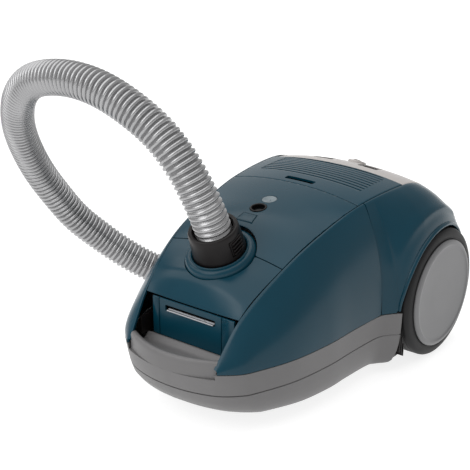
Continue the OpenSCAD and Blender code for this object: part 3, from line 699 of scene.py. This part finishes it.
def make_grille():
    y0, y1 = GRILLE_SEAM + SEAM / 2, REAR_SEAM - SEAM / 2
    rows = []
    for y in steps(y0, y1, 44):
        half = smooth(EDGE_X, y) - EDGE_STRIP
        rows.append([(half * t, y, crown(half * t, y)) for t in steps(-1, 1, 72)])
    panel = shell("grille_frame", rows, edge=0.6)
    field = cutter_slot(136, 57, 7, Matrix.Translation((0, 75.5, 205)))
    cut(panel, [field, cutter_slot(38, 8, 2, Matrix.Translation((0, 33, 205)))])
    blades, count = [panel], 9
    for i in range(count):
        y = 50.2 + 6.35 * i
        rings = []
        for x in steps(-68.4, 68.4, 48):
            z = crown(x, y)
            bow = 1.6 * (1 - (x / 68) ** 2)
            section = [(-2.7, -0.6), (-2.1, -0.1), (1.4, -0.2), (2.2, -0.9), (2.3, -1.9), (0.6, -2.1), (-1.2, -1.9),
                       (-2.6, -1.7)]
            rings.append([(x, y + u - bow, z + v) for u, v in section])
        blades.append(ring_loft("blade", rings, 30))
    grille = join("grille_cover_louvres", blades)
    finish_piece(grille, "petrol_gloss", "grille_cover", ["grille_cover"])
    rows = []
    for y in steps(GRILLE_SEAM + 3, REAR_SEAM - 3, 16):
        half = smooth(EDGE_X, y) - 8
        rows.append([(half * t, y, crown(half * t, y) - 7) for t in steps(-1, 1, 30)])
    backing = shell("grille_backing_mesh", rows, thick=1.0, edge=0)
    finish_piece(backing, "foam", "grille_cover", mat="dark_rubber")


REAR_PROFILE = [(REAR_SEAM + SEAM, 208.4, 87.4), (120, 207.2, 87.2), (135, 204, 86.9), (150, 198.6, 86.2),
                (164, 190.5, 84.8), (177, 178.5, 82.2), (187, 164, 79), (194, 148, 76), (198.5, 128, 78),
                (201, 112, 92), (REAR, 95, 99), (REAR, JOINT_Z, 99)]


def pedal_matrix(s):
    return (Matrix.Translation((s * 30, 131, 202.5)) @ Matrix.Rotation(math.radians(s * 5), 4, "Y")
            @ Matrix.Rotation(math.radians(-14), 4, "X"))


def knob_matrix():
    return Matrix.Translation((0, 151, 198)) @ Matrix.Rotation(math.radians(-24), 4, "X")


def make_rear():
    profile = spline(REAR_PROFILE, 3.0)
    rows = []
    for k in steps(-1, 1, 56):
        row = []
        for p in profile:
            f = (p.y - JOINT_Z) / (208.4 - JOINT_Z)
            row.append((k * p.z, p.x - (1 - f) * 10 * abs(k) ** 3, p.y - 8.8 * f * abs(k) ** 2.2))
        rows.append(row)
    cover = shell("rear_cover_skin", rows, edge=0.6, core=(0, 120, 120))
    cutters = [cutter_slot(26.2, 18.2, 2.5, pedal_matrix(s), 40) for s in (-1, 1)]
    cutters.append(cutter_round(11.6, knob_matrix(), 40))
    outlet = Matrix.Translation((45, 200, 100)) @ Matrix.Rotation(math.radians(-90), 4, "X")
    cutters.append(cutter_round(10, outlet, 30))
    cut(cover, cutters)
    finish_piece(cover, "pale_cover", "root", ["rear_cover"])
    for name, s in (("power", -1), ("rewind", 1)):
        key = rounded_box(name + "_pedal_key", (24.6, 16.6, 9), pedal_matrix(s) @ Matrix.Translation((0, 0, -3.9)),
                          1.6, taper=0.04)
        ribs = [rounded_box("rib", (15, 1.1, 1.0), pedal_matrix(s) @ Matrix.Translation((0, 3 * k, 0.7)), 0.3)
                for k in (-1, 0, 1)]
        key = join(name + "_pedal_key", [key] + ribs)
        finish_piece(key, "black_mould", name + "_pedal", [name + "_pedal"])
    skirt = [(3.1, -6), (11, -6), (11, 1.4), (10.4, 2.4), (9.2, 2.8), (8.6, 2.1), (3.4, 1.9), (3.1, 1.9)]
    knob = lathe("power_knob_cap", skirt, knob_matrix(), 96)
    bar = rounded_box("bar", (4, 19.6, 3.6), knob_matrix() @ Matrix.Translation((0, 0, 2.6)), 1.2, taper=0.25)
    disc = lathe("disc", [(0.02, 0.8), (3.6, 0.8), (3.6, 1.9), (0.02, 1.9)], knob_matrix(), 48)
    knob = join("power_knob_cap", [knob, bar, disc])
    finish_piece(knob, "silver_paint", "power_knob", ["power_knob"], mat="pale_cover")


# ---------------------------------------------------------------- port, cuff and front
def make_port():
    beads = [(27, -16), (RING_R - SEAM, -16)]
    for radius, height, width, rise, first in ((32.4, -5.2, 5.8, 6.6, 0), (30.6, -0.6, 1.4, 3.0, 0.5)):
        beads += [(radius + width * math.cos(a), height + rise * math.sin(a)) for a in steps(first, 1.75, 12)]
    beads += [(28.9, 1.0), (28.9, -13), (27, -13)]
    ring = lathe("port_ring_beads", beads, port_matrix(), 144)
    finish_piece(ring, "petrol_gloss", "root", ["port_ring"])
    wall = [(20.6, -10.5), (28.2, -10.5), (28.2, 0), (27.9, 6), (26.9, 24), (26.5, 29), (25.6, 30.7), (24.2, 31.2),
            (22.2, 30.6), (21.0, 28.8), (20.7, 26)]
    cuff = lathe("hose_cuff_sleeve", wall, port_matrix(), 128)
    pockets = [cutter_slot(10, 18.8, 2.2, port_matrix(15) @ Matrix.Translation((s * 27, 0, 0)), 18)
               for s in (-1, 1)]
    cut(cuff, pockets)
    finish_piece(cuff, "black_mould", "hose_cuff", ["hose_cuff"])
    for side, s in (("left", -1), ("right", 1)):
        plate = rounded_box("plate", (3, 17.6, 16.6), port_matrix(15) @ Matrix.Translation((s * 25.6, 0, 0)), 0.8)
        ribs = [rounded_box("rib", (3.2, 14.5, 1.5), port_matrix(9 + 4 * k)
                            @ Matrix.Translation((s * (27.7 - 0.15 * k), 0, 0)), 0.6) for k in range(4)]
        grip = join("cuff_release_" + side, [plate] + ribs)
        finish_piece(grip, "black_mould", "cuff_button_" + side, ["cuff_button_" + side])


def make_front():
    stand = Matrix.Translation((3.5, -157.9, 100.4))
    panel = rounded_box("fascia", (107, 2.4, 41.6), stand, 0.5)
    upright = Matrix.Rotation(math.pi / 2, 4, "X")
    slot = cutter_slot(66, 6.4, 1.2, Matrix.Translation((0, -157.7, 112.2)) @ upright, 20)
    grooves = [ring_loft("cutter", [[(x - 0.5, -160, z), (x + 0.5, -160, z), (x + 0.5, -157.9, z),
                                     (x - 0.5, -157.9, z)] for z in (70, 130)]) for x in (-41, 41)]
    cut(panel, [slot] + grooves)
    finish_piece(panel, "petrol_gloss", "root", ["front_fascia"])
    # The latch bar and tongue are silver paint: partly the latch's own light strip, partly a painted highlight
    # along its lower edge
    bar = rounded_box("lid_latch_bar", (61, 3.4, 1.3), Matrix.Translation((0, -158.4, 109.8)), 0.5)
    tongue = rounded_box("tongue", (61, 2.0, 2.2), Matrix.Translation((0, -156.0, 110.2)), 0.4)
    latch = join("lid_latch_bar", [bar, tongue])
    finish_piece(latch, "silver_paint", "lid_latch", ["lid_latch"])


# ---------------------------------------------------------------- wheels
def make_wheels():
    for side, s in (("left", -1), ("right", 1)):
        hub_place = Matrix.Translation((0, AXLE_Y, AXLE_Z)) @ Matrix.Rotation(s * math.pi / 2, 4, "Y")
        tread = [(60.2, 107), (71.5, 107), (73.6, 107.8), (74.8, 109.6), (75, 112)]
        for x in (114, 120, 126):
            tread += [(75, x - 0.7), (74.5, x - 0.35), (74.5, x + 0.35), (75, x + 0.7)]
        tread += [(75, 127.5), (74.7, 129.3), (73.8, 130.9), (72.2, 132.1), (70, 132.9), (67.2, 133.5),
                  (65.2, 133.7), (64.4, 133.2), (63.4, 133.4), (62.7, 133.0), (60.2, 132.8)]
        tyre = lathe("tyre_tread_" + side, tread, hub_place, 160)
        finish_piece(tyre, "tyre_rubber", "wheel_" + side, ["tyre_" + side])
        face = [(6.06, 108), (12, 108), (12, 130), (56, 130), (56, 110), (60, 110), (60, 133), (62.1, 133.6),
                (62.3, 134.8), (61.9, 135.9), (61.0, 136.7), (59.6, 137.3), (57.8, 137.65), (56.6, 137.5),
                (55.9, 136.8), (55.2, 136.5), (52, 136.25), (44, 135.8), (34, 135.35), (24, 135.1),
                (0.02, 135.0), (0.02, 134.5), (6.06, 134.5)]
        hub = lathe("wheel_disc_" + side, face, hub_place, 160)
        finish_piece(hub, "grey_mould", "wheel_" + side, ["wheel_hub_" + side], mat="hub_grey")


# ---------------------------------------------------------------- dust bag
def make_bag():
    sections = [(-128, 92, 30, 18), (-124, 92, 38, 25), (-118, 92, 47, 32), (-97, 91, 57, 32.5), (-88, 90, 60, 38),
                (-70, 90, 64, 41.5), (-45, 88, 67, 49), (-20, 88, 65, 48), (-10, 88, 60, 44), (-5, 87, 50, 36)]
    tables = [[(q[0], q[k]) for q in sections] for k in (1, 2, 3)]
    squareness = 0.7
    rings = []
    for y in steps(sections[0][0], sections[-1][0], 46):
        z, w, h = (smooth(table, y) for table in tables)
        ring = []
        for k in range(72):
            a = 2 * math.pi * k / 72
            fold = (1 - 0.035 * (0.5 + 0.5 * math.sin(9 * a + 0.11 * y))
                    - 0.02 * (0.5 + 0.5 * math.sin(0.33 * y + 3 * a)))
            c, d = math.cos(a), math.sin(a)
            ring.append((w * fold * math.copysign(abs(c) ** squareness, c), y,
                         z + h * fold * math.copysign(abs(d) ** squareness, d)))
        rings.append(ring)
    bag = ring_loft("dust_bag_fleece", rings, 80)
    finish_piece(bag, "bag_paper", "root", ["dust_bag"])


make_flanks()
make_pan()
make_front_grip()
make_front_lid()
make_accessory_lid()
make_lid_details()
make_grille()
make_rear()
make_port()
make_front()
make_wheels()
make_bag()

# ---------------------------------------------------------------- CAD nodes shown as they are, with a material
for entry in frame["record"]["subparts"]:
    node = nodes.get(entry["node"])
    if node is not None:
        node.data.materials.clear()
        slot = "grey_mould" if entry["node"] == "caster_socket" else entry["material_slot"]
        node.data.materials.append(MAT[slot])


# ---------------------------------------------------------------- floor and light
def make_studio():
    reach = 9000
    floor = make_object("studio_floor", [(-reach, -reach, 0), (reach, -reach, 0), (reach, reach, 0),
                                         (-reach, reach, 0)], [(0, 1, 2, 3)])
    floor.data.materials.append(MAT["floor"])
    shader = MAT["floor"].node_tree.nodes["Principled BSDF"]
    shader.inputs["Emission Color"].default_value = (1, 1, 1, 1)
    shader.inputs["Emission Strength"].default_value = 0.8
    world = bpy.data.worlds.new("studio")
    bpy.context.scene.world = world
    world.use_nodes = True
    world.node_tree.nodes["Background"].inputs["Color"].default_value = (1, 1, 1, 1)
    world.node_tree.nodes["Background"].inputs["Strength"].default_value = 0.52
    sun = bpy.data.objects.new("sky_softbox", bpy.data.lights.new("sky_softbox", "SUN"))
    sun.data.energy = 2.0
    sun.data.angle = math.radians(85)
    sun.rotation_euler = Vector((-0.35, -0.2, 1.0)).to_track_quat("Z", "Y").to_euler()
    bpy.context.collection.objects.link(sun)
    for name, place, target, size, power in (
            ("back_softbox", (-1.3, 1.9, 1.3), (0, 0, 0.1), 2.2, 4),
            ("front_softbox", (-0.5, -2.2, 1.5), (0, 0, 0.1), 1.6, 14)):
        light = bpy.data.objects.new(name, bpy.data.lights.new(name, "AREA"))
        light.data.size = size
        light.data.energy = power
        light.location = place
        light.rotation_euler = (Vector(target) - Vector(place)).to_track_quat("-Z", "Y").to_euler()
        bpy.context.collection.objects.link(light)


make_studio()
bpy.context.scene.view_settings.view_transform = "Standard"
